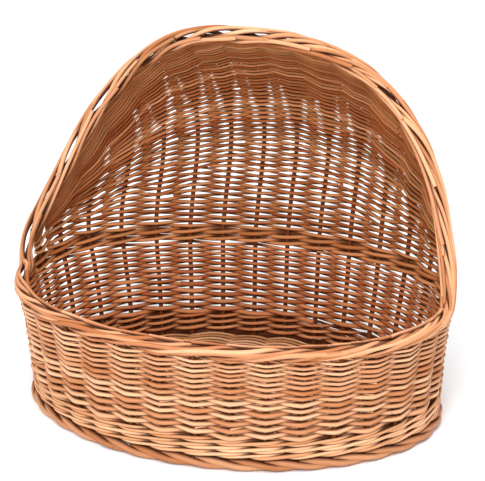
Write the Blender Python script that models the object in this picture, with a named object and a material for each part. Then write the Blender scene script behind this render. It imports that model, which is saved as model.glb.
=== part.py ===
"""Hooded wicker pet bed basket: oval tub, hood over the back half, rolled border round the doorway.

Metres, +Z up, doorway facing -Y.  The foot border stands on z = 0.
"""
import math

import bmesh
import bpy
import numpy as np

# ---- driving dimensions (metres) ----
OVAL_POWER = 2.15            # squareness of the oval plan
FLOOR_HALF_X = 0.2445        # wall centre line at the floor
FLOOR_HALF_Y = 0.1705
RIM_HALF_X = 0.2540          # wall centre line at the rim
RIM_HALF_Y = 0.1800
FLOOR_Z = 0.012
RIM_Z = 0.152                # centre of the front border and of the shoulders
SHOULDER_Y = -0.006          # the line the hood courses fan out from
STAKE_COUNT = 33
STAKE_R = 0.0027
WEAVE_SHIFT = 0.0052         # how far a course stands off the stake line
WEAVE_T = 0.0040
COURSE_GAP = 0.0004
HOOD_GAP = 0.0010            # between hood courses, which twist as they cross
FOOT_R = 0.0062
FOOT_HALF_X = 0.2480
FOOT_HALF_Y = 0.1740
BASE_BOTTOM_Z = 0.0080
BASE_T = 0.0050
BASE_INSET = 0.0105
BASE_STICK_R = 0.0030
BASE_STICK_Y = (-0.104, -0.052, 0.0, 0.052, 0.104)
WALL_LEVELS = (0.0150, 0.0270, 0.0400, 0.0560, 0.0720, 0.0880, 0.1040, 0.1195, 0.1345)
UPSETT_COURSES = 2           # the first levels are three-rod waling
WAIST_TOP_Z = 0.1490
HOOD_LEAN = math.radians(79.0)    # lean of the arch above the horizontal
HOOD_BACK_R = 0.186          # shoulder line to the back wall, at the waist
HOOD_ARCH_R = 0.306          # shoulder line to the top of the arch
HOOD_ARCH_POWER = 1.20       # how pointed the arch is, against 1 at the waist
HAUNCH_SETBACK = 0.034       # how far the haunches of the arch lie back
HOOD_COURSES = 8
HOOD_BORDER_R = 0.0125
FRONT_BORDER_R = 0.0100
BORDER_GAP = 0.0008
BORDER_CLEAR = 0.0150        # hood weave and stakes end this far from the middle of the border
HOOD_FIRST = 0.0006          # length up each stake where the hood courses start
BORDER_SIDES = 10

# ---- colours (base colour, roughness) ----
BUFF = (0.62, 0.36, 0.17)
BUFF_DARK = (0.48, 0.25, 0.11)
BUFF_PALE = (0.70, 0.44, 0.23)


def signed_power(value, power):
    return math.copysign(abs(value) ** power, value)


def oval_table(half_x, half_y, steps=1440):
    """Points of the oval from the front centre, running towards +X, with their arc lengths."""
    points = []
    for i in range(steps + 1):
        angle = 2.0 * math.pi * i / steps - math.pi / 2.0
        points.append((half_x * signed_power(math.cos(angle), 2.0 / OVAL_POWER),
                       half_y * signed_power(math.sin(angle), 2.0 / OVAL_POWER)))
    points = np.array(points)
    lengths = np.concatenate([[0.0], np.cumsum(np.linalg.norm(np.diff(points, axis=0), axis=1))])
    return points, lengths / lengths[-1]


UNIT_TABLE = oval_table(RIM_HALF_X, RIM_HALF_Y)


def oval_at(turn, half_x, half_y):
    """Plan point of the oval at a fraction of a turn, spaced by arc length along the rim."""
    points, lengths = UNIT_TABLE
    x = np.interp(turn % 1.0, lengths, points[:, 0]) * half_x / RIM_HALF_X
    y = np.interp(turn % 1.0, lengths, points[:, 1]) * half_y / RIM_HALF_Y
    return np.array((x, y))


def wall_half(z):
    """Half sizes of the wall centre line at a height, with the tub flaring to the rim."""
    part = min(max((z - FLOOR_Z) / (RIM_Z - FLOOR_Z), 0.0), 1.0)
    return (FLOOR_HALF_X + (RIM_HALF_X - FLOOR_HALF_X) * part,
            FLOOR_HALF_Y + (RIM_HALF_Y - FLOOR_HALF_Y) * part)


def wall_point(turn, z, shift=0.0):
    """Point on the tub wall, moved outward by shift."""
    half_x, half_y = wall_half(z)
    here = oval_at(turn, half_x, half_y)
    ahead = oval_at(turn + 0.001, half_x, half_y) - oval_at(turn - 0.001, half_x, half_y)
    outward = np.array((ahead[1], -ahead[0])) / np.linalg.norm(ahead)
    return np.array((*(here + outward * shift), z))


def hood_point(turn, rise):
    """Point on the hood centre surface: rise 0 at the waist, 1 at the arch."""
    plan = oval_at(turn, RIM_HALF_X, RIM_HALF_Y)
    reach = max((plan[1] - SHOULDER_Y) / (RIM_HALF_Y - SHOULDER_Y), 0.0)
    lean = HOOD_LEAN * rise
    radius = HOOD_BACK_R + (HOOD_ARCH_R - HOOD_BACK_R) * rise
    radius *= reach ** (1.0 + (HOOD_ARCH_POWER - 1.0) * rise)
    around = math.pi * (turn - 0.25) / 0.5
    setback = HAUNCH_SETBACK * rise ** 2 * math.sin(2.0 * around) ** 2
    return np.array((plan[0], SHOULDER_Y + radius * math.cos(lean) + setback, RIM_Z + radius * math.sin(lean)))


def hood_outward(turn, rise):
    """Unit direction out of the hood surface."""
    across = hood_point(turn + 0.002, rise) - hood_point(turn - 0.002, rise)
    along = hood_point(turn, min(rise + 0.01, 1.0)) - hood_point(turn, max(rise - 0.01, 0.0))
    outward = np.cross(across, along)
    return outward / np.linalg.norm(outward)


def hood_arc(turn):
    """Rises, running lengths and points up one hood stake."""
    rises = np.linspace(0.0, 1.0, 61)
    points = np.array([hood_point(turn, rise) for rise in rises])
    lengths = np.concatenate([[0.0], np.cumsum(np.linalg.norm(np.diff(points, axis=0), axis=1))])
    return rises, lengths, points


ARCH = np.array([hood_point(turn, 1.0) for turn in np.linspace(0.24, 0.76, 241)])


def hood_rise(turn, part, margin=0.0):
    """Rise at a part of the woven height of the hood, 0 above the waist wale and 1 under the border.

    The margin moves it up the stake by a length.
    """
    rises, lengths, points = hood_arc(turn)
    clear = np.array([np.linalg.norm(ARCH - point, axis=1).min() for point in points])
    last = np.interp(-BORDER_CLEAR, -clear[20:], lengths[20:])
    return float(np.interp(HOOD_FIRST + (last - HOOD_FIRST) * part + margin, lengths, rises))


# ---- mesh helpers ----
def willow(name, colour):
    material = bpy.data.materials.new(name)
    material.use_nodes = True
    shader = material.node_tree.nodes["Principled BSDF"]
    shader.inputs["Base Color"].default_value = (*colour, 1.0)
    shader.inputs["Roughness"].default_value = 0.55
    shader.inputs["Metallic"].default_value = 0.0
    return material


def add_body(name, rings, closed, colour, smooth):
    """One closed body lofted through equal rings of points, capped unless it runs round."""
    mesh = bpy.data.meshes.new(name)
    built = bmesh.new()
    rows = [[built.verts.new(point) for point in ring] for ring in rings]
    sides = len(rows[0])
    spans = len(rows) if closed else len(rows) - 1
    for i in range(spans):
        below = rows[i]
        above = rows[(i + 1) % len(rows)]
        for j in range(sides):
            k = (j + 1) % sides
            built.faces.new((below[j], below[k], above[k], above[j]))
    if not closed:
        built.faces.new(list(reversed(rows[0])))
        built.faces.new(rows[-1])
    bmesh.ops.recalc_face_normals(built, faces=built.faces)
    for face in built.faces:
        face.smooth = smooth and len(face.verts) == 4
    built.to_mesh(mesh)
    built.free()
    body = bpy.data.objects.new(name, mesh)
    bpy.context.scene.collection.objects.link(body)
    mesh.materials.append(willow(name, colour))
    return body


def round_rings(path, radius, sides, closed=False, start=0.0):
    """Rings of a rod along a path, carried along it without twisting."""
    path = np.array(path)
    if closed:
        ahead = np.roll(path, -1, axis=0) - np.roll(path, 1, axis=0)
    else:
        ahead = np.gradient(path, axis=0)
    ahead /= np.linalg.norm(ahead, axis=1)[:, None]
    lift = np.array((0.0, 0.0, 1.0)) if abs(ahead[0][2]) < 0.9 else np.array((0.0, 1.0, 0.0))
    rings = []
    for point, forward in zip(path, ahead):
        lift = lift - forward * np.dot(lift, forward)
        lift /= np.linalg.norm(lift)
        side = np.cross(forward, lift)
        turns = [start + 2.0 * math.pi * j / sides for j in range(sides)]
        rings.append([point + radius * (side * math.cos(t) + lift * math.sin(t)) for t in turns])
    return rings


def course_sign(stake, pattern, step):
    """Outside (+1) or inside (-1) of a stake, for a repeating over-and-under pattern."""
    return pattern[(stake + step) % len(pattern)]


def wall_course(name, low, high, pattern, step, stakes, colour):
    """A band of weave passing outside and inside the tub stakes by the pattern."""
    closed = len(stakes) == STAKE_COUNT
    rings = []
    for stake in stakes:
        shift = course_sign(stake, pattern, step) * WEAVE_SHIFT
        turn = stake / STAKE_COUNT
        ends = [(low, shift - WEAVE_T / 2), (low, shift + WEAVE_T / 2)]
        ends += [(high, shift + WEAVE_T / 2), (high, shift - WEAVE_T / 2)]
        rings.append([wall_point(turn, z, out) for z, out in ends])
    return add_body(name, rings, closed, colour, False)


def hood_course(name, low, high, step, stakes, colour):
    """A band of hood weave between two parts of the woven height."""
    rings = []
    for stake in stakes:
        turn = stake / STAKE_COUNT
        shift = course_sign(stake, RANDING, step) * WEAVE_SHIFT
        ring = []
        for part, margin, out in ((low, 1, -1), (low, 1, 1), (high, -1, 1), (high, -1, -1)):
            rise = hood_rise(turn, part, margin * HOOD_GAP / 2)
            ring.append(hood_point(turn, rise) + hood_outward(turn, rise) * (shift + out * WEAVE_T / 2))
        rings.append(ring)
    return add_body(name, rings, False, colour, False)


# ---- start from an empty scene ----
for leftover in list(bpy.data.objects):
    bpy.data.objects.remove(leftover, do_unlink=True)

RANDING = (1, -1)
WALING = (1, 1, -1)

# Stakes behind the shoulder line run on into the hood; the others stop under the front border.
plan_y = [oval_at(stake / STAKE_COUNT, RIM_HALF_X, RIM_HALF_Y)[1] for stake in range(STAKE_COUNT)]
all_stakes = list(range(STAKE_COUNT))
hood_stakes = [stake for stake in all_stakes if plan_y[stake] > SHOULDER_Y + 0.020]
side_stakes = [stake for stake in all_stakes if stake not in hood_stakes]

# ---- foot border, base sticks and base weave ----
foot_path = [(*oval_at(i / 66, FOOT_HALF_X, FOOT_HALF_Y), FOOT_R * math.cos(math.pi / 8)) for i in range(66)]
add_body("foot_border", round_rings(foot_path, FOOT_R, 8, True, math.pi / 8), True, BUFF_DARK, False)

base_half = (FLOOR_HALF_X - BASE_INSET, FLOOR_HALF_Y - BASE_INSET)
base_rings = []
for z in (BASE_BOTTOM_Z, BASE_BOTTOM_Z + BASE_T):
    base_rings.append([(*oval_at(i / 66, *base_half), z) for i in range(66)])
add_body("base_weave", base_rings, False, BUFF, False)

for number, y in enumerate(BASE_STICK_Y, 1):
    half_length = base_half[0] * (1.0 - (abs(y) / base_half[1]) ** OVAL_POWER) ** (1.0 / OVAL_POWER) - 0.006
    z = BASE_BOTTOM_Z - BASE_STICK_R - 0.0003
    stick = [(-half_length, y, z), (0.0, y, z), (half_length, y, z)]
    add_body(f"base_stick_{number}", round_rings(stick, BASE_STICK_R, 8), False, BUFF_DARK, True)

# ---- tub stakes and hood stakes ----
for stake in all_stakes:
    turn = stake / STAKE_COUNT
    heights = (WALL_LEVELS[0] - 0.0020, WALL_LEVELS[2], WALL_LEVELS[5])
    path = [wall_point(turn, z) for z in heights]
    if stake in hood_stakes:
        path.append(wall_point(turn, WALL_LEVELS[-1]))
        parts = np.linspace(0.0, 1.0, HOOD_COURSES + 1)
        path += [hood_point(turn, hood_rise(turn, part)) for part in parts]
        name = f"hood_stake_{hood_stakes.index(stake) + 1:02d}"
    else:
        path.append(wall_point(turn, RIM_Z - FRONT_BORDER_R - BORDER_GAP))
        name = f"front_stake_{side_stakes.index(stake) + 1:02d}"
    add_body(name, round_rings(path, STAKE_R, 6), False, BUFF_DARK, True)

# ---- tub weave: waling at the foot of the wall, then randing ----
for number in range(len(WALL_LEVELS) - 1):
    low = WALL_LEVELS[number] + COURSE_GAP / 2
    high = WALL_LEVELS[number + 1] - COURSE_GAP / 2
    if number < UPSETT_COURSES:
        wall_course(f"upsett_wale_{number + 1}", low, high, WALING, number, all_stakes, BUFF_PALE)
    else:
        course = number - UPSETT_COURSES
        wall_course(f"tub_rand_{course + 1}", low, high, RANDING, course, all_stakes, BUFF)

# ---- waist wale round the back, then the hood weave ----
wall_course("waist_wale", WALL_LEVELS[-1] + COURSE_GAP / 2, WAIST_TOP_Z, WALING, 0, hood_stakes, BUFF_PALE)
for number in range(HOOD_COURSES):
    low = number / HOOD_COURSES
    high = (number + 1) / HOOD_COURSES
    hood_course(f"hood_rand_{number + 1}", low, high, number, hood_stakes, BUFF)

# ---- rolled border: along the front rim, then over the arch ----
shoulder_turn = 0.25 - 0.006
front_turns = np.linspace(-shoulder_turn, shoulder_turn, 41)
front_path = [wall_point(turn, RIM_Z) for turn in front_turns]
add_body("front_border", round_rings(front_path, FRONT_BORDER_R, BORDER_SIDES), False, BUFF_PALE, True)
arch_turns = np.linspace(0.75 - 0.008, 0.25 + 0.008, 45)
arch_path = [hood_point(turn, 1.0) for turn in arch_turns]
add_body("hood_border", round_rings(arch_path, HOOD_BORDER_R, BORDER_SIDES), False, BUFF_PALE, True)

# ---- stand the basket with the middle of its outline on the origin ----
bodies = list(bpy.context.scene.collection.objects)
depths = [vertex.co.y for body in bodies for vertex in body.data.vertices]
for body in bodies:
    body.location.y = -(min(depths) + max(depths)) / 2.0
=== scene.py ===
"""Hooded wicker pet bed: every willow rod of the weave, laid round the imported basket."""

import math

import bpy
import numpy as np
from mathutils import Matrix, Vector


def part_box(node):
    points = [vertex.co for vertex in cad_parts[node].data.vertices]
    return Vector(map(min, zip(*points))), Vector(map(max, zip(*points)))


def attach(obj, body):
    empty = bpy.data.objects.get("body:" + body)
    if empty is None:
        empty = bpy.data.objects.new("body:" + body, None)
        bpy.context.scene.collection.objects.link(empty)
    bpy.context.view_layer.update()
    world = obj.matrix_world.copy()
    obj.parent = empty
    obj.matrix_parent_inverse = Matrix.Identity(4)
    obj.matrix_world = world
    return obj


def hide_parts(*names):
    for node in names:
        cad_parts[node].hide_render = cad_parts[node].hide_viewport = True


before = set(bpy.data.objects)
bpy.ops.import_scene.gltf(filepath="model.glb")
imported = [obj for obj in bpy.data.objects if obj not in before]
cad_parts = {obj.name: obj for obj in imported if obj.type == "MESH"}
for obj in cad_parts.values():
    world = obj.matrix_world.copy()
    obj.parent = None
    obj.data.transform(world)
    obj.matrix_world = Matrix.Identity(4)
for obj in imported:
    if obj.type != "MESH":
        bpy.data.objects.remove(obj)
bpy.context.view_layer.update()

# ---- the basket's plan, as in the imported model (metres) ----
OVAL_POWER = 2.15
STAKES = 33                      # stakes in one turn; number 0 stands at the front centre
RIM_HALF = (0.2540, 0.1800)
FLOOR_HALF = (0.2445, 0.1705)
FLOOR_Z = 0.012
SHOULDER_Y = -0.006
HOOD_LEAN = math.radians(79.0)
HOOD_BACK_R = 0.186
HOOD_ARCH_R = 0.306
HOOD_ARCH_POWER = 1.20
HAUNCH_SETBACK = 0.034
FOOT_HALF = (0.2480, 0.1740)
HOOD_BANDS = 8
TUB_BANDS = 6


def middle(node):
    low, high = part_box(node)
    return (low + high) / 2.0


PLAN_Y = middle("base_weave").y
RIM_Z = middle("front_border").z
WAIST_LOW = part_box("waist_wale")[0].z
UPSETT_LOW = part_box("upsett_wale_1")[0].z
UPSETT_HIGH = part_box("upsett_wale_2")[1].z
BAND_TOPS = [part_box(f"tub_rand_{band + 1}")[1].z for band in range(TUB_BANDS)]

# ---- rods (metres) ----
HOOD_PITCH = 0.00335             # from one row of the hood to the next, at its middle
STAKE_D = 0.0058
BORDER_ROD_D = 0.0056
FOOT_ROD_D = 0.0080
SAMPLES = 9                      # points on a weaver from one stake to the next

rng = np.random.default_rng(33)


# ---- the basket's surfaces ----
def signed_power(value, power):
    return np.sign(value) * np.abs(value) ** power


def rim_table(steps=2880):
    """The rim oval from the front centre towards +X, with arc lengths as parts of a turn."""
    angle = 2.0 * math.pi * np.arange(steps + 1) / steps - math.pi / 2.0
    x = RIM_HALF[0] * signed_power(np.cos(angle), 2.0 / OVAL_POWER)
    y = RIM_HALF[1] * signed_power(np.sin(angle), 2.0 / OVAL_POWER)
    run = np.concatenate([[0.0], np.cumsum(np.hypot(np.diff(x), np.diff(y)))])
    return run / run[-1], x, y


RIM_RUN, RIM_X, RIM_Y = rim_table()


def unit(vectors):
    return vectors / np.maximum(np.linalg.norm(vectors, axis=-1, keepdims=True), 1e-9)


def oval(stake, half):
    """Plan points of an oval at positions counted in stakes."""
    turn = np.mod(np.asarray(stake, float) / STAKES, 1.0)
    x = np.interp(turn, RIM_RUN, RIM_X) * half[0] / RIM_HALF[0]
    y = np.interp(turn, RIM_RUN, RIM_Y) * half[1] / RIM_HALF[1]
    return np.stack([x, y], -1)


def wall(stake, z):
    """Points, outward directions and upward directions of the tub wall."""
    z = np.broadcast_to(np.asarray(z, float), np.shape(stake))
    part = np.clip((z - FLOOR_Z) / (RIM_Z - FLOOR_Z), 0.0, 1.0)[..., None]
    half = np.array(FLOOR_HALF) + (np.array(RIM_HALF) - np.array(FLOOR_HALF)) * part
    size = half / np.array(RIM_HALF)
    plan = oval(stake, RIM_HALF) * size
    ahead = oval(np.asarray(stake) + 0.05, RIM_HALF) - oval(np.asarray(stake) - 0.05, RIM_HALF)
    outward = unit(np.stack([ahead[..., 1], -ahead[..., 0], np.zeros_like(z)], -1))
    points = np.stack([plan[..., 0], plan[..., 1] + PLAN_Y, z], -1)
    upward = np.broadcast_to(np.array((0.0, 0.0, 1.0)), points.shape)
    return points, outward, upward


def hood_point(stake, rise):
    """Points on the hood: rise 0 at the waist and 1 at the arch."""
    stake, rise = np.broadcast_arrays(np.asarray(stake, float), np.asarray(rise, float))
    plan = oval(stake, RIM_HALF)
    reach = np.maximum((plan[..., 1] - SHOULDER_Y) / (RIM_HALF[1] - SHOULDER_Y), 0.0)
    lean = HOOD_LEAN * rise
    radius = HOOD_BACK_R + (HOOD_ARCH_R - HOOD_BACK_R) * rise
    radius = radius * reach ** (1.0 + (HOOD_ARCH_POWER - 1.0) * rise)
    around = 2.0 * math.pi * (stake / STAKES - 0.25)
    setback = HAUNCH_SETBACK * rise ** 2 * np.sin(2.0 * around) ** 2
    y = SHOULDER_Y + radius * np.cos(lean) + setback + PLAN_Y
    return np.stack([plan[..., 0], y, RIM_Z + radius * np.sin(lean)], -1)


RISES = np.linspace(0.0, 1.0, 81)
HOOD_GRID = np.arange(8.4, STAKES - 8.4 + 0.001, 0.1)
HOOD_SHEET = hood_point(HOOD_GRID[:, None], RISES[None, :])
HOOD_RUN = np.concatenate([
    np.zeros((len(HOOD_GRID), 1)),
    np.cumsum(np.linalg.norm(np.diff(HOOD_SHEET, axis=1), axis=2), axis=1),
], axis=1)


def hood_length(stake):
    return np.interp(stake, HOOD_GRID, HOOD_RUN[:, -1])


def hood(stake, length):
    """Points, outward directions and upward directions at lengths up the hood stakes."""
    stake = np.asarray(stake, float)
    length = np.broadcast_to(np.asarray(length, float), stake.shape)
    place = np.clip((stake - HOOD_GRID[0]) / 0.1, 0, len(HOOD_GRID) - 1.001)
    low = place.astype(int)
    rise = np.empty_like(stake)
    for i in range(len(stake)):
        below = np.interp(length[i], HOOD_RUN[low[i]], RISES)
        above = np.interp(length[i], HOOD_RUN[low[i] + 1], RISES)
        rise[i] = below + (above - below) * (place[i] - low[i])
    points = hood_point(stake, rise)
    across = hood_point(stake + 0.06, rise) - hood_point(stake - 0.06, rise)
    along = hood_point(stake, np.minimum(rise + 0.01, 1.0)) - hood_point(stake, np.maximum(rise - 0.01, 0.0))
    outward = unit(np.cross(across, along))
    return points, outward, unit(np.cross(outward, across))


# ---- the small unevenness of a basket made by hand ----
LEAN_SIDE = 0.0085               # how far the hood leans towards +X at mid height
SHOULDER_SPREAD = (0.0095, 0.0060)   # the shoulders pushed out on the -X and +X sides
CORNER_TUCK = 0.030              # the foot's corners drawn in, as a part of its size
UNEVEN = 0.0011                  # how far the rows of the wall rise and fall


def by_hand(points):
    x, y, z = points[:, 0], points[:, 1] - PLAN_Y, points[:, 2]
    lean = LEAN_SIDE * ease((z - 0.17) / 0.13) * (1.0 - 0.75 * ease((z - 0.37) / 0.09))
    spread = np.where(x < 0, SHOULDER_SPREAD[0], SHOULDER_SPREAD[1]) * np.sign(x)
    spread = spread * np.exp(-((z - 0.178) / 0.050) ** 2) * ease((np.abs(x) - 0.10) / 0.14)
    around = np.arctan2(y / FLOOR_HALF[1], x / FLOOR_HALF[0])
    tuck = 1.0 - CORNER_TUCK * np.sin(2.0 * around) ** 2 * (1.0 - ease(z / 0.13))
    sag = UNEVEN * (np.sin(4.3 * around + 55.0 * z + 1.0) + 0.7 * np.sin(9.7 * around - 38.0 * z))
    z = z + sag * ease((z - 0.02) / 0.04) * (1.0 - ease((z - 0.115) / 0.03))
    return np.stack([x * tuck + lean + spread, y * tuck + PLAN_Y, z], -1)


# ---- laying rods: centre line on the surface, with how far it swings out and lifts ----
def ease(value):
    value = np.clip(value, 0.0, 1.0)
    return value * value * (3.0 - 2.0 * value)


def through(places, values, at):
    """A smooth curve through values at places, read at other places."""
    slopes = np.gradient(values, places)
    i = np.clip(np.searchsorted(places, at) - 1, 0, len(places) - 2)
    step = places[i + 1] - places[i]
    t = np.clip((at - places[i]) / step, -0.5, 1.5)
    return ((1 + 2 * t) * (1 - t) ** 2 * values[i] + t * (1 - t) ** 2 * slopes[i] * step
            + t * t * (3 - 2 * t) * values[i + 1] + t * t * (t - 1) * slopes[i + 1] * step)


def make_rod(surface, swing, lift, radius, tone=None, away=None):
    """A rod's guide: surface is (points, outward, upward); away is the side it shows to the air, which the
    painted crevice shade leaves light.
    """
    points, outward, upward = surface
    if away is None:
        away = outward * np.broadcast_to(swing, len(points))[:, None]
    run = np.concatenate([[0.0], np.cumsum(np.linalg.norm(np.diff(points, axis=0), axis=1))])
    count = len(points)
    return {
        "points": points,
        "outward": outward,
        "upward": upward,
        "away": away,
        "swing": np.broadcast_to(swing, count),
        "lift": np.broadcast_to(lift, count),
        "thickness": np.broadcast_to(radius, count),
        "tone": np.full(count, rng.random() if tone is None else tone),
        "along": run + rng.random() * 20.0,
    }


INNER_SWING = -0.97              # a point swung in at least this far is on the inner side
END_TUCK = 0.55                  # how far a rod's end slips past the end of the next one


def cut_rods(stake, swing, lift, radius, surface_of, shortest=14, longest=26):
    """Cuts one long woven run into rods whose ends overlap on the inner side of a stake."""
    inner = [i for i in range(1, len(stake) - 1)
             if swing[i] < INNER_SWING and swing[i] <= min(swing[i - 1], swing[i + 1])]
    rods = []
    first = 0
    tail = SAMPLES // 3
    while first < len(stake) - 1:
        wanted = first + rng.integers(shortest, longest) * SAMPLES
        later = [i for i in inner if i >= wanted and i < len(stake) - 6 * SAMPLES]
        last = later[0] if later else len(stake) - 1
        begin = max(first - tail, 0)
        end = min(last + tail, len(stake) - 1)
        index = np.arange(begin, end + 1)
        part = (index - begin) / max(end - begin, 1)
        taper = 1.07 - 0.17 * part
        tuck = np.zeros(len(index))
        if begin > 0:
            tuck -= END_TUCK * ease(1.0 - (index - begin) / (2.0 * tail))
        if end < len(stake) - 1:
            tuck += END_TUCK * ease(1.0 - (end - index) / (2.0 * tail))
        grow = rng.uniform(0.86, 1.12)
        sway = rng.uniform(0.90, 1.08)
        rods.append(make_rod([a[index] for a in surface_of], swing[index] * sway,
                             lift[index] + tuck + rng.uniform(-0.30, 0.30), radius[index] * taper * grow))
        first = last
    return rods


BEND = 0.982                     # nearer 1 is a sharper bend at each stake


def woven_swing(count):
    """Out and in once every two stakes: nearly straight from stake to stake, bent at each one."""
    return np.arcsin(BEND * np.cos(math.pi * count)) / math.asin(BEND)


# ---- Geometry Nodes: one tree turns guides into round willow rods ----
def add_node(tree, kind, **values):
    node = tree.nodes.new(kind)
    for name, value in values.items():
        if name == "inputs":
            for key, given in value.items():
                node.inputs[key].default_value = given
        else:
            setattr(node, name, value)
    return node


def read_attribute(tree, name, kind):
    node = add_node(tree, "GeometryNodeInputNamedAttribute", data_type=kind)
    node.inputs["Name"].default_value = name
    return node.outputs["Attribute"]


def scaled(tree, vector, factor):
    node = add_node(tree, "ShaderNodeVectorMath", operation="SCALE")
    tree.links.new(vector, node.inputs[0])
    tree.links.new(factor, node.inputs["Scale"])
    return node.outputs["Vector"]


def product(tree, first, second):
    node = add_node(tree, "ShaderNodeMath", operation="MULTIPLY")
    tree.links.new(first, node.inputs[0])
    tree.links.new(second, node.inputs[1])
    return node.outputs["Value"]


def total(tree, first, second):
    node = add_node(tree, "ShaderNodeVectorMath", operation="ADD")
    tree.links.new(first, node.inputs[0])
    tree.links.new(second, node.inputs[1])
    return node.outputs["Vector"]


def willow_rod_tree():
    """Guides in, swept rods out: swings them out and in, lifts them, gives them a natural waver."""
    tree = bpy.data.node_groups.new("Willow rods", "GeometryNodeTree")
    face = tree.interface
    face.new_socket("Geometry", in_out="INPUT", socket_type="NodeSocketGeometry")
    face.new_socket("Geometry", in_out="OUTPUT", socket_type="NodeSocketGeometry")
    for name, kind, value in (("Swing out", "NodeSocketFloat", 0.004), ("Lift", "NodeSocketFloat", 0.001),
                              ("Waver", "NodeSocketFloat", 0.0004), ("Waver scale", "NodeSocketFloat", 30.0),
                              ("Sides", "NodeSocketInt", 8), ("Seed", "NodeSocketFloat", 1.0)):
        face.new_socket(name, in_out="INPUT", socket_type=kind).default_value = value
    face.new_socket("Finish", in_out="INPUT", socket_type="NodeSocketMaterial")
    link = tree.links.new
    given = add_node(tree, "NodeGroupInput").outputs
    curve = add_node(tree, "GeometryNodeMeshToCurve")
    link(given["Geometry"], curve.inputs["Mesh"])
    out = scaled(tree, read_attribute(tree, "outward", "FLOAT_VECTOR"),
                 product(tree, read_attribute(tree, "swing", "FLOAT"), given["Swing out"]))
    up = scaled(tree, read_attribute(tree, "upward", "FLOAT_VECTOR"),
                product(tree, read_attribute(tree, "lift", "FLOAT"), given["Lift"]))
    noise = add_node(tree, "ShaderNodeTexNoise", noise_dimensions="4D", inputs={"Detail": 1.0})
    spot = add_node(tree, "ShaderNodeCombineXYZ")
    link(read_attribute(tree, "along", "FLOAT"), spot.inputs["X"])
    link(read_attribute(tree, "tone", "FLOAT"), spot.inputs["Y"])
    link(spot.outputs["Vector"], noise.inputs["Vector"])
    link(given["Waver scale"], noise.inputs["Scale"])
    link(given["Seed"], noise.inputs["W"])
    centred = add_node(tree, "ShaderNodeVectorMath", operation="SUBTRACT")
    link(noise.outputs["Color"], centred.inputs[0])
    centred.inputs[1].default_value = (0.5, 0.5, 0.5)
    waver = scaled(tree, centred.outputs["Vector"], given["Waver"])
    moved = add_node(tree, "GeometryNodeSetPosition")
    link(curve.outputs["Curve"], moved.inputs["Geometry"])
    link(total(tree, total(tree, out, up), waver), moved.inputs["Offset"])
    thick = add_node(tree, "GeometryNodeSetCurveRadius")
    link(moved.outputs["Geometry"], thick.inputs["Curve"])
    link(read_attribute(tree, "thickness", "FLOAT"), thick.inputs["Radius"])
    ring = add_node(tree, "GeometryNodeCurvePrimitiveCircle", inputs={"Radius": 1.0})
    link(given["Sides"], ring.inputs["Resolution"])
    girth = add_node(tree, "GeometryNodeStoreNamedAttribute", data_type="FLOAT_VECTOR", domain="POINT",
                     inputs={"Name": "girth"})
    link(ring.outputs["Curve"], girth.inputs["Geometry"])
    link(add_node(tree, "GeometryNodeInputPosition").outputs["Position"], girth.inputs["Value"])
    sweep = add_node(tree, "GeometryNodeCurveToMesh", inputs={"Fill Caps": True})
    link(thick.outputs["Curve"], sweep.inputs["Curve"])
    link(girth.outputs["Geometry"], sweep.inputs["Profile Curve"])
    if "Scale" in sweep.inputs:
        radius = add_node(tree, "GeometryNodeInputRadius")
        link(radius.outputs["Radius"], sweep.inputs["Scale"])
    smooth = add_node(tree, "GeometryNodeSetShadeSmooth")
    link(sweep.outputs["Mesh"], smooth.inputs["Geometry"])
    real = add_node(tree, "GeometryNodeRealizeInstances")
    link(smooth.outputs["Geometry"], real.inputs["Geometry"])
    finish = add_node(tree, "GeometryNodeSetMaterial")
    link(real.outputs["Geometry"], finish.inputs["Geometry"])
    link(given["Finish"], finish.inputs["Material"])
    link(finish.outputs["Geometry"], add_node(tree, "NodeGroupOutput").inputs["Geometry"])
    return tree


ROD_TREE = willow_rod_tree()
ROD_SOCKETS = {item.name: item.identifier for item in ROD_TREE.interface.items_tree
               if item.in_out == "INPUT"}


def guide_mesh(name, rods):
    mesh = bpy.data.meshes.new(name)
    points = by_hand(np.concatenate([rod["points"] for rod in rods]))
    edges = []
    start = 0
    for rod in rods:
        count = len(rod["points"])
        here = np.arange(start, start + count - 1)
        edges.append(np.stack([here, here + 1], -1))
        start += count
    edges = np.concatenate(edges)
    mesh.vertices.add(len(points))
    mesh.vertices.foreach_set("co", points.astype(np.float32).ravel())
    mesh.edges.add(len(edges))
    mesh.edges.foreach_set("vertices", edges.astype(np.int32).ravel())
    for key in ("outward", "upward", "away"):
        values = np.concatenate([rod[key] for rod in rods]).astype(np.float32)
        mesh.attributes.new(key, "FLOAT_VECTOR", "POINT").data.foreach_set("vector", values.ravel())
    for key in ("swing", "lift", "thickness", "tone", "along"):
        values = np.concatenate([rod[key] for rod in rods]).astype(np.float32)
        mesh.attributes.new(key, "FLOAT", "POINT").data.foreach_set("value", values)
    return mesh


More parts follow.
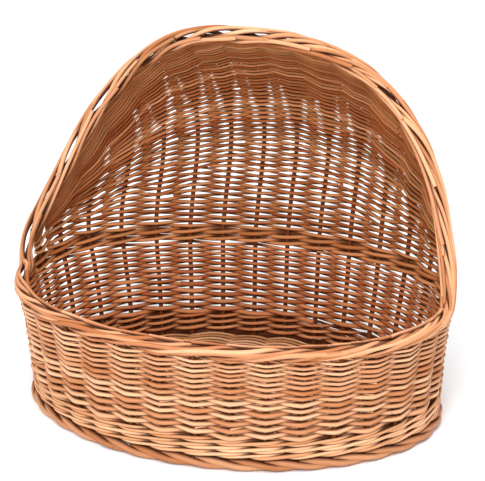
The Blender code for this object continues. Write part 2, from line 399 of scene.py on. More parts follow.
def mark_painted_shade(mesh, groove, touch):
    """Stores how deep each point sits among its neighbours, as a mask of painted shade for the crevices, and
    which points face inward, as a mask of painted shade on the inner side.
    """
    count = len(mesh.vertices)

    def read(key, field, width):
        values = np.empty(count * width, np.float32)
        mesh.attributes[key].data.foreach_get(field, values)
        return values.reshape(count, width) if width > 1 else values

    normals = np.empty(count * 3, np.float32)
    mesh.vertex_normals.foreach_get("vector", normals)
    normals = normals.reshape(count, 3)
    facing = np.sum(normals * read("outward", "vector", 3), axis=1)
    open_side = np.sum(normals * read("away", "vector", 3), axis=1)
    beside = np.sum(normals * read("upward", "vector", 3), axis=1)
    # Painted shade: sides turned away from the open air, under neighbouring rods, get darker.
    covered = ease((groove - open_side) / 0.9)
    # Painted shade: the tops of rods, and more broadly their undersides, where rows touch, get darker.
    touching = np.maximum(ease((beside - 0.62) / 0.38), ease((-beside - 0.15) / 0.7))
    painted_crevice_shade = 1.0 - (1.0 - 0.9 * covered) * (1.0 - touch * touching)
    # Painted shade: points facing into the basket get the darker, redder inner tint.
    inner = ease((0.25 - facing) / 0.7)
    for key, values in (("painted_crevice_shade", painted_crevice_shade), ("inner", inner)):
        mesh.attributes.new(key, "FLOAT", "POINT").data.foreach_set("value", values.astype(np.float32))
    for key in ("outward", "upward", "away", "swing", "lift", "thickness"):
        mesh.attributes.remove(mesh.attributes[key])


def lay_piece(name, rods, nodes, finish, swing_out, lift, waver=0.0005, sides=8, waver_scale=28.0,
              groove=0.28, touch=0.48):
    """Sweeps a set of guides into one piece that stands for its CAD nodes; groove and touch set how far the
    painted crevice shade spreads.
    """
    guide = bpy.data.objects.new(name + "_guide", guide_mesh(name, rods))
    bpy.context.scene.collection.objects.link(guide)
    modifier = guide.modifiers.new("Willow rods", "NODES")
    modifier.node_group = ROD_TREE
    wanted = {"Swing out": swing_out, "Lift": lift, "Waver": waver, "Waver scale": waver_scale,
              "Sides": sides, "Seed": float(len(name)), "Finish": finish}
    for key, value in wanted.items():
        modifier[ROD_SOCKETS[key]] = value
    bpy.context.view_layer.update()
    depsgraph = bpy.context.evaluated_depsgraph_get()
    mesh = bpy.data.meshes.new_from_object(guide.evaluated_get(depsgraph))
    bpy.data.objects.remove(guide, do_unlink=True)
    mark_painted_shade(mesh, groove, touch)
    piece = bpy.data.objects.new(name, mesh)
    bpy.context.scene.collection.objects.link(piece)
    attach(piece, "root")
    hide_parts(*nodes)


# ---- willow finish ----
def willow_group():
    """Peeled willow: long streaks, soft blotches, small flecks, and a fine height for the bark, with painted
    shade in the crevices and on the inner side.
    """
    group = bpy.data.node_groups.new("Peeled willow", "ShaderNodeTree")
    face = group.interface
    # Shade and Inner tint are painted shade colours, and the crevice and inner-side strengths below set how
    # much of them is laid on; the other inputs are the willow's own colour.
    for name, value in (("Pale", (0.80, 0.52, 0.28, 1.0)), ("Deep", (0.42, 0.19, 0.07, 1.0)),
                        ("Fleck", (0.20, 0.08, 0.03, 1.0)), ("Shade", (0.055, 0.006, 0.001, 1.0)),
                        ("Inner shade tint", (0.76, 0.53, 0.39, 1.0)),
                        ("Aged", (0.36, 0.215, 0.095, 1.0))):
        face.new_socket(name, in_out="INPUT", socket_type="NodeSocketColor").default_value = value
    for name, value in (("Tone spread", 0.5), ("Streaks", 0.35), ("Blotches", 0.3), ("Flecks", 0.5),
                        ("Painted crevice shade", 0.97), ("Inner painted shade", 1.0), ("Aged rods", 0.6)):
        face.new_socket(name, in_out="INPUT", socket_type="NodeSocketFloat").default_value = value
    face.new_socket("Colour", in_out="OUTPUT", socket_type="NodeSocketColor")
    face.new_socket("Roughness", in_out="OUTPUT", socket_type="NodeSocketFloat")
    face.new_socket("Height", in_out="OUTPUT", socket_type="NodeSocketFloat")
    link = group.links.new
    given = add_node(group, "NodeGroupInput").outputs
    result = add_node(group, "NodeGroupOutput").inputs

    def attribute(name, output):
        return add_node(group, "ShaderNodeAttribute", attribute_name=name).outputs[output]

    def math_node(kind, first, second, clamp=False):
        node = add_node(group, "ShaderNodeMath", operation=kind, use_clamp=clamp)
        for socket, value in zip(node.inputs, (first, second)):
            if isinstance(value, (int, float)):
                socket.default_value = value
            else:
                link(value, socket)
        return node.outputs["Value"]

    tone = attribute("tone", "Fac")
    along = attribute("along", "Fac")
    girth = attribute("girth", "Vector")
    stretched = add_node(group, "ShaderNodeCombineXYZ")
    split = add_node(group, "ShaderNodeSeparateXYZ")
    link(girth, split.inputs["Vector"])
    link(math_node("MULTIPLY", along, 26.0), stretched.inputs["Z"])
    link(math_node("ADD", split.outputs["X"], math_node("MULTIPLY", tone, 37.0)), stretched.inputs["X"])
    link(split.outputs["Y"], stretched.inputs["Y"])
    streak = add_node(group, "ShaderNodeTexNoise", inputs={"Scale": 1.9, "Detail": 4.0, "Roughness": 0.62})
    link(stretched.outputs["Vector"], streak.inputs["Vector"])
    place = add_node(group, "ShaderNodeTexCoord").outputs["Object"]
    blotch = add_node(group, "ShaderNodeTexNoise", inputs={"Scale": 34.0, "Detail": 3.0, "Roughness": 0.55})
    link(place, blotch.inputs["Vector"])
    fine = add_node(group, "ShaderNodeTexNoise", inputs={"Scale": 420.0, "Detail": 2.0, "Roughness": 0.6})
    link(place, fine.inputs["Vector"])
    shade = math_node("MULTIPLY", math_node("SUBTRACT", tone, 0.5), given["Tone spread"])
    streaks = math_node("MULTIPLY", math_node("SUBTRACT", streak.outputs["Fac"], 0.5), given["Streaks"])
    blotches = math_node("MULTIPLY", math_node("SUBTRACT", blotch.outputs["Fac"], 0.5), given["Blotches"])
    mixed = math_node("ADD", math_node("ADD", shade, streaks), math_node("ADD", blotches, 0.5), clamp=True)
    body = add_node(group, "ShaderNodeMix", data_type="RGBA")
    link(mixed, body.inputs["Factor"])
    link(given["Deep"], body.inputs["A"])
    link(given["Pale"], body.inputs["B"])
    pick = add_node(group, "ShaderNodeMapRange", interpolation_type="SMOOTHSTEP",
                    inputs={"From Min": 0.70, "From Max": 0.95})
    link(math_node("FRACT", math_node("MULTIPLY", tone, 7.31), 0.0), pick.inputs["Value"])
    aged = add_node(group, "ShaderNodeMix", data_type="RGBA")
    link(math_node("MULTIPLY", pick.outputs["Result"], given["Aged rods"]), aged.inputs["Factor"])
    link(body.outputs["Result"], aged.inputs["A"])
    link(given["Aged"], aged.inputs["B"])
    speck = add_node(group, "ShaderNodeMapRange", interpolation_type="SMOOTHSTEP",
                     inputs={"From Min": 0.69, "From Max": 0.76})
    spots = add_node(group, "ShaderNodeTexNoise", inputs={"Scale": 95.0, "Detail": 2.0, "Roughness": 0.5})
    link(place, spots.inputs["Vector"])
    link(spots.outputs["Fac"], speck.inputs["Value"])
    flecked = add_node(group, "ShaderNodeMix", data_type="RGBA")
    link(math_node("MULTIPLY", speck.outputs["Result"], given["Flecks"]), flecked.inputs["Factor"])
    link(aged.outputs["Result"], flecked.inputs["A"])
    link(given["Fleck"], flecked.inputs["B"])
    # Painted shade: the inner side is multiplied by a darker, redder tint.
    inner_shaded = add_node(group, "ShaderNodeMix", data_type="RGBA", blend_type="MULTIPLY")
    link(math_node("MULTIPLY", attribute("inner", "Fac"), given["Inner painted shade"]), inner_shaded.inputs["Factor"])
    link(flecked.outputs["Result"], inner_shaded.inputs["A"])
    link(given["Inner shade tint"], inner_shaded.inputs["B"])
    # Painted shade: mixes towards the dark Shade colour where the crevice mask is high.
    shaded = add_node(group, "ShaderNodeMix", data_type="RGBA")
    link(math_node("MULTIPLY", attribute("painted_crevice_shade", "Fac"), given["Painted crevice shade"]), shaded.inputs["Factor"])
    link(inner_shaded.outputs["Result"], shaded.inputs["A"])
    link(given["Shade"], shaded.inputs["B"])
    link(shaded.outputs["Result"], result["Colour"])
    rough = math_node("ADD", math_node("MULTIPLY", fine.outputs["Fac"], 0.22), 0.36)
    rough = math_node("SUBTRACT", rough, math_node("MULTIPLY", mixed, 0.10))
    # Rougher where the painted crevice shade lies.
    rougher_in_crevices = math_node("MULTIPLY", attribute("painted_crevice_shade", "Fac"), 0.30)
    link(math_node("ADD", rough, rougher_in_crevices), result["Roughness"])
    height = math_node("ADD", math_node("MULTIPLY", streak.outputs["Fac"], 0.6),
                       math_node("MULTIPLY", fine.outputs["Fac"], 0.4))
    link(height, result["Height"])
    return group


WILLOW = willow_group()


def willow(name, pale, deep, spread, inner_shade=1.0, aged=0.25, streaks=0.5, blotches=0.35, flecks=0.5,
           bump=0.25, gloss=0.08):
    """A willow finish between a pale and a deep colour; spread is how much rods differ in tone, and the
    inner-side strength sets how much painted shade darkens the inner side.
    """
    material = bpy.data.materials.new(name)
    material.use_nodes = True
    tree = material.node_tree
    shader = tree.nodes["Principled BSDF"]
    bark = add_node(tree, "ShaderNodeGroup", node_tree=WILLOW)
    bark.inputs["Pale"].default_value = (*pale, 1.0)
    bark.inputs["Deep"].default_value = (*deep, 1.0)
    bark.inputs["Tone spread"].default_value = spread
    bark.inputs["Streaks"].default_value = streaks
    bark.inputs["Blotches"].default_value = blotches
    bark.inputs["Flecks"].default_value = flecks
    bark.inputs["Inner painted shade"].default_value = inner_shade
    bark.inputs["Aged rods"].default_value = aged
    relief = add_node(tree, "ShaderNodeBump", inputs={"Strength": bump, "Distance": 0.0006})
    tree.links.new(bark.outputs["Height"], relief.inputs["Height"])
    tree.links.new(bark.outputs["Colour"], shader.inputs["Base Color"])
    tree.links.new(bark.outputs["Roughness"], shader.inputs["Roughness"])
    tree.links.new(relief.outputs["Normal"], shader.inputs["Normal"])
    shader.inputs["Specular IOR Level"].default_value = gloss
    return material


WEAVE_FINISH = willow("Willow weavers", (0.92, 0.515, 0.295), (0.46, 0.16, 0.055), 0.90)
HOOD_FINISH = willow("Willow hood weavers", (0.91, 0.53, 0.275), (0.43, 0.15, 0.048), 0.95, aged=0.5)
WAIST_FINISH = willow("Willow waist walers", (0.90, 0.52, 0.27), (0.50, 0.19, 0.06), 0.80)
WALE_FINISH = willow("Willow walers", (0.94, 0.54, 0.31), (0.54, 0.22, 0.085), 0.80)
BORDER_FINISH = willow("Willow border rods", (0.82, 0.41, 0.22), (0.43, 0.15, 0.055), 1.0, inner_shade=0.0)
FOOT_FINISH = willow("Willow foot rods", (0.65, 0.32, 0.168), (0.36, 0.118, 0.038), 0.75, inner_shade=0.4)
# Stakes: a darker willow of their own, darkened further as painted shade for where they show in the shadow
# behind the weave.
STAKE_FINISH = willow("Willow stakes", (0.34, 0.125, 0.045), (0.14, 0.04, 0.012), 0.50)
FLOOR_FINISH = willow("Willow floor rods", (0.90, 0.50, 0.27), (0.54, 0.215, 0.08), 0.80, inner_shade=0.6)


# ---- tub weave: one spiral of randing, with short rows added across the front ----
ROUNDS = 24
FRONT_ROWS = 3
WEAVE_LOW = UPSETT_HIGH + 0.0008
SPIRAL_START = 15                # the stake, at the back, where the spiral starts
FRONT_REACH = 6.5                # stakes from the front centre that are wholly front weave
FRONT_FADE = 4.5                 # stakes over which front weave changes to back weave
FRONT_ENDS = 30                  # cut ends standing proud across the front


def front_share(stake):
    """1 across the front of the tub, 0 across the back."""
    away = np.abs(np.mod(stake + STAKES / 2.0, STAKES) - STAKES / 2.0)
    return 1.0 - ease((away - FRONT_REACH) / FRONT_FADE)


def row_height(rounds, stake):
    """Height of the spiral after a number of rounds: the rods grow finer towards the rim."""
    part = rounds / (ROUNDS + FRONT_ROWS)
    front = WEAVE_LOW + (RIM_Z - 0.0085 - WEAVE_LOW) * part * (1.30 - 0.30 * part)
    part = rounds / ROUNDS
    back = WEAVE_LOW + (WAIST_LOW - 0.0004 - WEAVE_LOW) * part * (1.22 - 0.22 * part)
    return back + (front - back) * front_share(stake)


def tub_rods():
    count = np.arange(0.0, ROUNDS * STAKES + 1e-6, 1.0 / SAMPLES)
    stake = count + SPIRAL_START
    rounds = count / STAKES
    share = front_share(stake)
    pitch = row_height(rounds + 0.5, stake) - row_height(rounds - 0.5, stake)
    swing = -woven_swing(count)
    full = 0.62 + share * (0.14 * np.abs(swing) - 0.04)
    surface = wall(stake, row_height(rounds, stake))
    rods = cut_rods(stake, swing, -swing * (0.25 + 0.75 * share), pitch * full, surface)
    for row in range(FRONT_ROWS):
        end = 8.7 - 0.1 * (row % 3)
        side = np.arange(-end, end + 1e-6, 1.0 / SAMPLES)
        low = row_height((STAKES - SPIRAL_START + side) / STAKES + ROUNDS - 1.0, side)
        top = RIM_Z - 0.0080
        height = low + (top - low) * (row + 0.8) / FRONT_ROWS
        swing = woven_swing(side) * (1.0 if row % 2 else -1.0)
        radius = (top - low) / FRONT_ROWS * 0.60
        rods += cut_rods(side, swing, -swing, radius, wall(side, height), 7, 12)
    return rods


def front_ends():
    """Short cut ends that stand proud of the front stakes where one weaver gives over to the next."""
    rods = []
    for _ in range(FRONT_ENDS):
        rounds = rng.uniform(1.5, ROUNDS - 1.5)
        stake = int(rng.integers(-8, 9)) + np.linspace(-0.30, rng.uniform(0.01, 0.09), 8)
        if rng.random() < 0.5:
            stake = 2.0 * stake[-1] - stake
        height = row_height(rounds, stake)
        pitch = row_height(rounds + 0.5, stake) - row_height(rounds - 0.5, stake)
        part = np.linspace(0.0, 1.0, 8)
        swing = -0.2 + 1.35 * part
        droop = rng.uniform(-2.2, -0.4) * part
        rods.append(make_rod(wall(stake, height), swing, droop, pitch * rng.uniform(0.22, 0.34)))
    return rods


def band_of(rod):
    height = rod["points"][:, 2].mean()
    return min(sum(height > top for top in BAND_TOPS), TUB_BANDS - 1)


tub = tub_rods() + front_ends()
for band in range(TUB_BANDS):
    mine = [rod for rod in tub if band_of(rod) == band]
    lay_piece(f"tub_rand_{band + 1}_rods", mine, [f"tub_rand_{band + 1}"], WEAVE_FINISH,
              0.0048, 0.0011, waver=0.0009, waver_scale=24.0)


# ---- waling: three rods to a course, each before two stakes and behind one ----
def wale_swing(phase):
    """Behind one stake, where the phase is a multiple of three, and before the next two."""
    away = np.abs(np.mod(phase + 1.5, 3.0) - 1.5)
    return 1.0 - 2.0 * (1.0 - ease(away / 1.05)) - 0.12 * ease(away - 0.9)


def wale_rods(first, last, low, course, courses, radius, slope):
    """Courses of waling; slope is how far each float climbs from its start to its end."""
    rods = []
    for number in range(courses):
        for strand in range(3):
            start = first + (-strand - number - first) % 3 if last - first >= STAKES else first
            count = np.arange(start, start + last - first + 1e-6, 1.0 / SAMPLES)
            phase = count + strand + number
            swing = wale_swing(phase)
            climb = -np.sin(2.0 * math.pi * phase / 3.0)
            height = low + course * (number + 0.5) + slope * climb
            thick = np.full(len(count), radius)
            rods += cut_rods(count, swing, 0.0 * count, thick, wall(count, height), 10, 22)
    return rods


UPSETT_COURSES = (1, 2)
UPSETT_ROD_R = 0.262             # radius of a waler, as a part of its course
UPSETT_SLOPE = 0.27              # climb of a float, as a part of its course
WAIST_ROD_R = 0.29
WAIST_SLOPE = 0.24
SHOULDER_STAKE = 8.3             # where the waist and the arch start, counted in stakes
upsett_course = (UPSETT_HIGH - UPSETT_LOW) / sum(UPSETT_COURSES)
course_low = UPSETT_LOW
for part, courses in enumerate(UPSETT_COURSES):
    rods = wale_rods(SPIRAL_START, SPIRAL_START + STAKES, course_low, upsett_course, courses,
                     upsett_course * UPSETT_ROD_R, upsett_course * UPSETT_SLOPE)
    course_low += upsett_course * courses
    lay_piece(f"upsett_wale_{part + 1}_rods", rods, [f"upsett_wale_{part + 1}"], WALE_FINISH,
              0.0052, 0.0010, groove=0.52, touch=0.25)
WAIST_TOP = RIM_Z + 0.0006
waist_course = (WAIST_TOP - WAIST_LOW) / 2.0
waist = wale_rods(SHOULDER_STAKE, STAKES - SHOULDER_STAKE, WAIST_LOW, waist_course, 2,
                  waist_course * WAIST_ROD_R, waist_course * WAIST_SLOPE)
lay_piece("waist_wale_rods", waist, ["waist_wale"], WAIST_FINISH, 0.0040, 0.0010)


# ---- hood weave: rows fanning out of the shoulders, in pairs that turn back round a stake ----
HOOD_FIRST = 9
HOOD_LAST = STAKES - HOOD_FIRST
HOOD_START = 0.0012              # length up a stake where the rows start
HOOD_THICK = 1.15                # a weaver's thickness for each row of pitch
HOOD_STOP = 0.0100               # the rows end this far short of the arch


def woven_length(stake):
    return hood_length(stake) - HOOD_STOP - HOOD_START


SQUEEZE = (1.30, 1.22, 1.12, 1.05, 1.01, 1.0, 1.0, 1.0)   # coarser rows towards the shoulders
NOSE = 0.42                      # how far past its last stake a turned-back pair reaches
NOSE_ROUND = 0.13                # how far its rounded end bulges


def pairs_at(stake):
    """How many pairs of rows cross a stake."""
    from_shoulder = np.arange(HOOD_FIRST, HOOD_FIRST + len(SQUEEZE))
    squeeze = np.interp(min(stake, STAKES - stake), from_shoulder, SQUEEZE)
    return max(int(round(float(woven_length(stake)) / (HOOD_PITCH * squeeze) / 2.0)), 2)


CENTRE_PAIRS = pairs_at(16)


def pair_ranks(phase):
    """Pairs in the order in which they reach furthest towards a shoulder."""
    order = np.mod((np.arange(CENTRE_PAIRS) + 0.5) * 0.6180339 + phase, 1.0)
    order[:3] *= 0.02
    order[-4:] *= 0.02
    return np.argsort(np.argsort(order))


def hood_rods():
    """The hood's rods, sorted into bands; every pair is one closed run there and back."""
    ranks = (pair_ranks(0.0), pair_ranks(0.37))
    stakes = np.arange(HOOD_FIRST, HOOD_LAST + 1)
    counts = {int(k): min(pairs_at(int(k)), CENTRE_PAIRS) for k in stakes}
    rows = {}
    for k in stakes:
        rank = ranks[0] if k <= STAKES // 2 else ranks[1]
        present = np.flatnonzero(rank < counts[int(k)])
        for pair in range(CENTRE_PAIRS):
            below = int(np.searchsorted(present, pair))
            here = below < len(present) and present[below] == pair
            for half in (0, 1):
                part = (below + (half + 0.5) / 2.0 if here else below) / len(present)
                rows.setdefault((pair, half), []).append((int(k), part, here))
    numbers = np.array([2.0 * counts[int(k)] for k in stakes])
    banded = [[] for _ in range(HOOD_BANDS)]
    for pair in range(CENTRE_PAIRS):
        runs = []
        for half in (0, 1):
            known = rows[(pair, half)]
            held = [k for k, _, here in known if here]
            places = np.array([k for k, _, _ in known], float)
            parts = np.array([part for _, part, _ in known])
            first = held[0] - (NOSE if held[0] > HOOD_FIRST else 0.0)
            last = held[-1] + (NOSE if held[-1] < HOOD_LAST else 0.0)
            stake = np.linspace(first, last, int(round((last - first) * SAMPLES)) + 1)
            runs.append((stake, through(places, parts, stake)))
        (stake_a, part_a), (stake_b, part_b) = runs
        sign = np.concatenate([np.ones(len(stake_a)), -np.ones(len(stake_b))])
        bend = np.linspace(0.0, math.pi, 9)[1:-1]
        right = stake_a[-1] + NOSE_ROUND * np.sin(bend)
        right_part = part_a[-1] + (part_b[-1] - part_a[-1]) * (1.0 - np.cos(bend)) / 2.0
        left = stake_a[0] - NOSE_ROUND * np.sin(bend)
        left_part = part_b[0] + (part_a[0] - part_b[0]) * (1.0 - np.cos(bend)) / 2.0
        swing_a = woven_swing(stake_a)
        swing_b = -woven_swing(stake_b)[::-1]
        stake = np.concatenate([stake_a, right, stake_b[::-1], left])
        part = np.concatenate([part_a, right_part, part_b[::-1], left_part])
        swing = np.concatenate([swing_a, swing_a[-1] * np.cos(bend), swing_b, swing_b[-1] * np.cos(bend)])
        fine = 0.18 * ease((np.minimum(stake, STAKES - stake) - 10.0) / 4.0)
        length = HOOD_START + part * (1.0 + fine - fine * part) * woven_length(stake)
        surface = hood(stake, length)
        radius = HOOD_THICK / 2.0 * woven_length(stake) / np.interp(stake, stakes, numbers)
        low_part = 1.0 - ease((part - 0.16) / 0.26)
        radius = radius * (1.0 + fine * (0.5 - 1.2 * part)) * (1.0 + 0.03 * low_part)
        swing = swing * (1.0 - 0.38 * part ** 2)
        banded[min(pair * HOOD_BANDS // CENTRE_PAIRS, HOOD_BANDS - 1)] += cut_rods(
            stake, swing, (1.6 * low_part - 0.4) * swing, radius, surface, 10, 18)
    return banded


for band, rods in enumerate(hood_rods()):
    lay_piece(f"hood_rand_{band + 1}_rods", rods, [f"hood_rand_{band + 1}"], HOOD_FINISH,
              0.0044, 0.0010, waver=0.0008, sides=7, groove=0.26, touch=0.52)


# ---- stakes ----
def upright(stake):
    """One stake, from the foot to the rim, or on up the hood."""
    low = np.linspace(0.006, RIM_Z, 14)
    spots = np.full(len(low), float(stake))
    points, outward, upward = wall(spots, low)
    if HOOD_FIRST <= stake <= HOOD_LAST:
        lengths = np.linspace(0.0, float(hood_length(stake)) - 0.004, 36)[1:]
        more = hood(np.full(len(lengths), float(stake)), lengths)
        points = np.concatenate([points, more[0]])
        outward = np.concatenate([outward, more[1]])
        upward = np.concatenate([upward, more[2]])
    taper = np.linspace(1.05, 0.9, len(points))
    return make_rod((points, outward, upward), 0.0, 0.0, STAKE_D / 2.0 * taper)


front_numbers = [k for k in range(STAKES) if not HOOD_FIRST <= k <= HOOD_LAST]
lay_piece("front_stakes_rods", [upright(k) for k in front_numbers],
          [f"front_stake_{i + 1:02d}" for i in range(len(front_numbers))], STAKE_FINISH, 0.0, 0.0)
hood_numbers = list(range(HOOD_FIRST, HOOD_LAST + 1))
lay_piece("hood_stakes_rods", [upright(k) for k in hood_numbers],
          [f"hood_stake_{i + 1:02d}" for i in range(len(hood_numbers))], STAKE_FINISH, 0.0, 0.0)


# ---- rolled border: one loop over the front rim and the arch ----
LOOP = np.arange(0.0, STAKES, 0.05)


def border_loop():
    """Middle line, outward and free-edge directions of the border, round the whole loop."""
    plan = oval(LOOP, RIM_HALF)
    behind = plan[:, 1] > SHOULDER_Y
    rim, rim_out, rim_up = wall(LOOP, np.full(len(LOOP), RIM_Z))
    arch = hood_point(LOOP, np.ones(len(LOOP)))
    below = hood_point(LOOP, np.full(len(LOOP), 0.97))
    across = hood_point(LOOP + 0.06, np.ones(len(LOOP))) - hood_point(LOOP - 0.06, np.ones(len(LOOP)))
    arch_up = unit(arch - below)
    arch_out = unit(np.cross(across, arch_up))
    deep = ((plan[:, 1] - SHOULDER_Y) > 0.012)[:, None]
    middle_line = np.where(behind[:, None], arch, rim)
    outward = np.where(deep, arch_out, rim_out)
    upward = np.where(deep, arch_up, rim_up)

    def blurred(values, reach):
        size = int(reach / 0.05)
        weights = np.hanning(2 * size + 3)[1:-1]
        weights /= weights.sum()
        total_value = np.zeros_like(values)
        for shift, weight in zip(range(-size, size + 1), weights):
            total_value += weight * np.roll(values, shift, axis=0)
        return total_value

    line = blurred(middle_line, 0.5)
    ahead = unit(np.roll(line, -1, axis=0) - np.roll(line, 1, axis=0))
    upward = blurred(upward, 1.2)
    upward = unit(upward - ahead * np.sum(upward * ahead, axis=1, keepdims=True))
    outward = blurred(outward, 0.8)
    outward = outward - ahead * np.sum(outward * ahead, axis=1, keepdims=True)
    outward = unit(outward - upward * np.sum(outward * upward, axis=1, keepdims=True))
    return line, outward, upward


LOOP_LINE, LOOP_OUT, LOOP_UP = border_loop()


def on_loop(stake):
    def read(values):
        wrapped = np.vstack([values, values[:1]])
        at = np.mod(stake, STAKES)
        return np.stack([np.interp(at, np.append(LOOP, STAKES), wrapped[:, i]) for i in range(3)], -1)
    return read(LOOP_LINE), unit(read(LOOP_OUT)), unit(read(LOOP_UP))


ROLL_AT = np.array((0.0, 0.5, 1.2, 3.8, 4.7, 5.2, 7.3))
ROLL_ANGLE = np.radians((-20.0, 80.0, 184.0, 285.0, 370.0, 435.0, 518.0))
ROLL_OUT = np.array((0.62, 0.60, 0.80, 1.08, 1.00, 1.05, 1.40))   # later turns lie over earlier ones
MILLIMETRE = 0.001
BORDER_WIDE = (0.0062, 0.0012)   # half width on the rim, and what the arch adds
BORDER_TALL = (0.0058, 0.0026)   # half height on the rim, and what the arch adds
BORDER_MIDDLE = 3.4              # how far behind its start the middle of a border rod lies
GOLDEN = 1.618034                # spreads the tones of neighbouring border rods evenly
CORE_DEPTH = 0.28                # the rods that fill the core of the border lie this far out
CORE_AWAY = -0.1                 # core rods face inward, so the painted crevice shade darkens them


def arch_share(stake):
    at = np.mod(stake, STAKES)
    return ease((at - 8.0) / 1.5) * ease((STAKES - 8.0 - at) / 1.5)


def border_rod(stake, depth, thick=1.0):
    """A stake laid down: inside, over the free edge, along the outside, back in and cut off."""
    gone = np.arange(0.0, ROLL_AT[-1] * rng.uniform(0.96, 1.03), 1.0 / 14.0)
    at = stake - gone
    drift = rng.uniform(-0.22, 0.22) + 0.16 * np.sin(gone * rng.uniform(1.2, 2.2) + rng.uniform(0.0, 6.0))
    angle = through(ROLL_AT, ROLL_ANGLE, gone) + drift
    arch = arch_share(at)
    girth = np.interp(gone, ROLL_AT, ROLL_OUT) * rng.uniform(0.91, 1.08) * depth
    thick = thick * rng.uniform(0.86, 1.12)
    wide = (BORDER_WIDE[0] + BORDER_WIDE[1] * arch) * girth
    tall = (BORDER_TALL[0] + BORDER_TALL[1] * arch) * girth
    start = 1.0 - ease(gone / 0.5)
    line, outward, upward = on_loop(at)
    across = (-np.sin(angle) * wide * (1.0 - 0.6 * start))[:, None]
    rise = (-np.cos(angle) * tall - 0.004 * start)[:, None]
    # Core rods count as facing inward, so the painted crevice shade darkens them.
    away = unit(outward * across + upward * rise) * (CORE_AWAY if depth < 0.5 else 1.0)
    radius = BORDER_ROD_D / 2.0 * (1.06 - 0.14 * gone / gone[-1]) * thick
    tone = math.fmod(stake * GOLDEN, 1.0)
    swing = across[:, 0] / MILLIMETRE
    lift = rise[:, 0] / MILLIMETRE
    return make_rod((line, outward, upward), swing, lift, radius, tone, away)


front_rods = []
arch_rods = []
for number in range(STAKES):
    right_side = 7 <= number < 17
    layers = [(0.0, 1.0, 0.90 if right_side or number > 26 else 1.0)]
    if right_side:
        layers.append((0.5, 1.0, 0.78))
    elif number < 7:
        layers.append((0.5, CORE_DEPTH, 1.0))
    for shift, depth, thick in layers:
        stake = number + shift + rng.uniform(-0.09, 0.09)
        on_arch = SHOULDER_STAKE < stake - BORDER_MIDDLE < STAKES - SHOULDER_STAKE
        group = arch_rods if on_arch else front_rods
        group.append(border_rod(stake, depth, thick))
lay_piece("front_border_rods", front_rods, ["front_border"], BORDER_FINISH, MILLIMETRE, MILLIMETRE,
          waver=0.0020, sides=12, waver_scale=11.0, groove=0.66, touch=0.0)
lay_piece("hood_border_rods", arch_rods, ["hood_border"], BORDER_FINISH, MILLIMETRE, MILLIMETRE,
          waver=0.0020, sides=12, waver_scale=11.0, groove=0.66, touch=0.0)


# ---- foot border: thick rods rolled under the wall ----
FOOT_AT = np.array((0.0, 0.6, 1.3, 2.0, 2.75))
FOOT_OUT = np.array((-1.5, 2.4, 3.8, -1.0, -5.5))   # millimetres out from the line of the foot
FOOT_UP = np.array((12.0, 10.4, 5.8, 4.8, 5.2))      # millimetres above the ground


def foot_rod(stake):
    """A stake laid down under the wall: out, round and back in."""
    gone = np.arange(0.0, FOOT_AT[-1], 1.0 / 16.0)
    at = stake + gone
    plan = oval(at, FOOT_HALF)
    ahead = oval(at + 0.05, FOOT_HALF) - oval(at - 0.05, FOOT_HALF)
    outward = unit(np.stack([ahead[:, 1], -ahead[:, 0], np.zeros(len(at))], -1))
    points = np.stack([plan[:, 0], plan[:, 1] + PLAN_Y, np.zeros(len(at))], -1)
    upward = np.broadcast_to(np.array((0.0, 0.0, 1.0)), points.shape)
    across = through(FOOT_AT, FOOT_OUT, gone)
    rise = through(FOOT_AT, FOOT_UP, gone)
    # The open side faces out and down; the painted crevice shade darkens the rest of each foot rod.
    away = unit(outward * (across + 2.0)[:, None] - upward * 2.0)
    taper = (1.06 - 0.22 * gone / gone[-1]) * (1.0 - 0.45 * (1.0 - ease(gone / 0.5)))
    return make_rod((points, outward, upward), across, rise,
                    FOOT_ROD_D / 2.0 * taper * rng.uniform(0.94, 1.05), away=away)


lay_piece("foot_border_rods", [foot_rod(float(k)) for k in range(STAKES)], ["foot_border"],
          FOOT_FINISH, MILLIMETRE, MILLIMETRE, waver=0.0007, sides=12, waver_scale=12.0,
          groove=0.62, touch=0.0)


# ---- floor: oval rings woven over and under the long sticks and the cross sticks ----
STICK_Y = [middle(f"base_stick_{i + 1}").y - PLAN_Y for i in range(5)]
CROSS_X = np.linspace(-0.175, 0.175, 8)
FLOOR_MID_Z = 0.0088
FLOOR_INSET = 0.0065
FLOOR_EDGE = (FLOOR_HALF[0] - FLOOR_INSET, FLOOR_HALF[1] - FLOOR_INSET)
RING_PITCH = 0.0040
RING_R = RING_PITCH * 0.46
LAST_RING = 0.0035               # no ring is narrower than this, measured from its middle
CROSS_STICK_R = 0.0019
LONG_STICK_R = 0.0021
STICK_PAST = 0.002               # how far the sticks reach past the outer ring


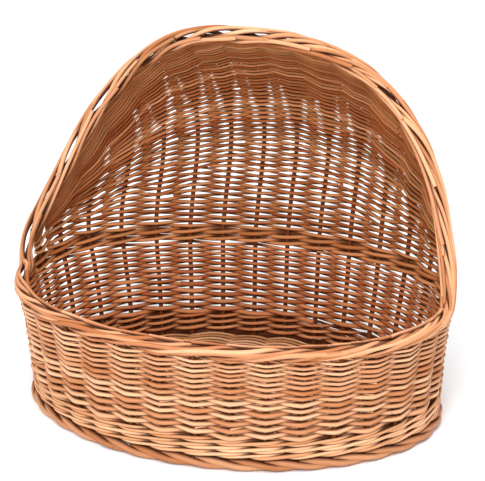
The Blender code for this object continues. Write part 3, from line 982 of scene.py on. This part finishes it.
def floor_rods():
    rods = []
    inset = 0.0
    number = 0
    while FLOOR_EDGE[1] - inset > LAST_RING:
        half = (FLOOR_EDGE[0] - inset, FLOOR_EDGE[1] - inset)
        count = max(int(STAKES * 7 * half[0] / FLOOR_EDGE[0]), 60)
        stake = np.linspace(0.0, STAKES, count + 1)
        plan = oval(stake, half)
        crossings = []
        for y in STICK_Y:
            sign = np.sign(plan[:, 1] - y)
            crossings += list(stake[np.flatnonzero(sign[:-1] * sign[1:] < 0)])
        for x in CROSS_X:
            sign = np.sign(plan[:, 0] - x)
            crossings += list(stake[np.flatnonzero(sign[:-1] * sign[1:] < 0)])
        crossings = np.array(sorted(crossings))
        phase = np.interp(stake, np.concatenate([crossings - STAKES, crossings, crossings + STAKES]),
                          np.arange(-len(crossings), 2 * len(crossings)))
        swing = np.cos(math.pi * (phase + number))
        points = np.stack([plan[:, 0], plan[:, 1] + PLAN_Y, np.full(len(stake), FLOOR_MID_Z)], -1)
        outward = np.broadcast_to(np.array((0.0, 0.0, 1.0)), points.shape)
        side = unit(np.stack([plan[:, 0], plan[:, 1], np.zeros(len(stake))], -1))
        turn = int(rng.integers(0, count))
        index = np.roll(np.arange(count), turn)
        index = np.append(index, index[:2])
        rods.append(make_rod((points[index], outward[index], side[index]), swing[index], 0.0,
                             RING_R * rng.uniform(0.92, 1.06)))
        inset += RING_PITCH * rng.uniform(0.96, 1.04)
        number += 1
    reach = FLOOR_EDGE[0] - inset
    over = FLOOR_MID_Z + 0.003
    rods.append(straight_stick((-reach, PLAN_Y, over), (reach, PLAN_Y, over), RING_R))
    return rods


def straight_stick(start, end, radius):
    points = np.linspace(start, end, 24)
    outward = np.broadcast_to(np.array((0.0, 0.0, 1.0)), points.shape)
    side = np.broadcast_to(unit(np.cross(outward[0], np.array(end) - np.array(start))), points.shape)
    return make_rod((points, outward, side), 0.0, 0.0, radius)


cross_sticks = []
for x in CROSS_X:
    reach = FLOOR_EDGE[1] * (1.0 - (abs(x) / FLOOR_EDGE[0]) ** OVAL_POWER) ** (1.0 / OVAL_POWER) + STICK_PAST
    cross_sticks.append(straight_stick((x, PLAN_Y - reach, FLOOR_MID_Z + 0.0004),
                                       (x, PLAN_Y + reach, FLOOR_MID_Z + 0.0004), CROSS_STICK_R))
lay_piece("base_weave_rods", floor_rods() + cross_sticks, ["base_weave"], FLOOR_FINISH,
          0.0032, 0.001, waver=0.0009, sides=6)
long_sticks = []
for y in STICK_Y:
    reach = FLOOR_EDGE[0] * (1.0 - (abs(y) / FLOOR_EDGE[1]) ** OVAL_POWER) ** (1.0 / OVAL_POWER) + STICK_PAST
    long_sticks.append(straight_stick((-reach, PLAN_Y + y, FLOOR_MID_Z - 0.0002),
                                      (reach, PLAN_Y + y, FLOOR_MID_Z - 0.0002), LONG_STICK_R))
lay_piece("base_sticks_rods", long_sticks, [f"base_stick_{i + 1}" for i in range(5)], STAKE_FINISH,
          0.0, 0.0, sides=8)


# ---- studio: pale floor, soft light, camera ----
def studio():
    mesh = bpy.data.meshes.new("studio_floor")
    far = 30.0
    corners = [(-far, -far, 0), (far, -far, 0), (far, far, 0), (-far, far, 0)]
    mesh.from_pydata(corners, [], [(0, 1, 2, 3)])
    floor = bpy.data.objects.new("studio_floor", mesh)
    bpy.context.scene.collection.objects.link(floor)
    paint = bpy.data.materials.new("Pale studio floor")
    paint.use_nodes = True
    shader = paint.node_tree.nodes["Principled BSDF"]
    shader.inputs["Base Color"].default_value = (0.93, 0.94, 0.95, 1.0)
    shader.inputs["Roughness"].default_value = 0.9
    mesh.materials.append(paint)
    world = bpy.data.worlds.new("Studio")
    world.use_nodes = True
    sky = world.node_tree.nodes["Background"]
    sky.inputs["Color"].default_value = (0.97, 0.985, 1.0, 1.0)
    sky.inputs["Strength"].default_value = 0.84
    bpy.context.scene.world = world
    for name, place, size, power in (("Key softbox", (0.1, -2.6, 2.2), 1.3, 74.0),
                                     ("Top softbox", (0.3, -0.4, 2.6), 2.0, 30.0)):
        light = bpy.data.lights.new(name, "AREA")
        light.size = size
        light.energy = power
        lamp = bpy.data.objects.new(name, light)
        lamp.location = place
        lamp.rotation_mode = "QUATERNION"
        lamp.rotation_quaternion = (Vector((0, 0, 0.2)) - Vector(place)).to_track_quat("-Z", "Y")
        bpy.context.scene.collection.objects.link(lamp)


CAMERA_TURN = math.radians(15.0)
CAMERA_HEIGHT = math.radians(22.7)
CAMERA_DISTANCE = 2.70
CAMERA_LENS = 168.5
CAMERA_AIM = (0.0095, PLAN_Y, 0.2125)     # sideways, depth and height of the point looked at


def set_camera():
    camera = bpy.data.cameras.new("Camera")
    camera.lens = CAMERA_LENS
    camera.sensor_width = 36.0
    holder = bpy.data.objects.new("Camera", camera)
    bpy.context.scene.collection.objects.link(holder)
    back = Vector((math.sin(CAMERA_TURN) * math.cos(CAMERA_HEIGHT),
                   -math.cos(CAMERA_TURN) * math.cos(CAMERA_HEIGHT), math.sin(CAMERA_HEIGHT)))
    right = Vector((math.cos(CAMERA_TURN), math.sin(CAMERA_TURN), 0.0))
    aim = Vector((0.0, CAMERA_AIM[1], CAMERA_AIM[2])) + right * CAMERA_AIM[0]
    holder.location = aim + back * CAMERA_DISTANCE
    holder.rotation_mode = "QUATERNION"
    holder.rotation_quaternion = (-back).to_track_quat("-Z", "Y")
    bpy.context.scene.camera = holder


studio()
set_camera()
bpy.context.scene.view_settings.view_transform = "Standard"
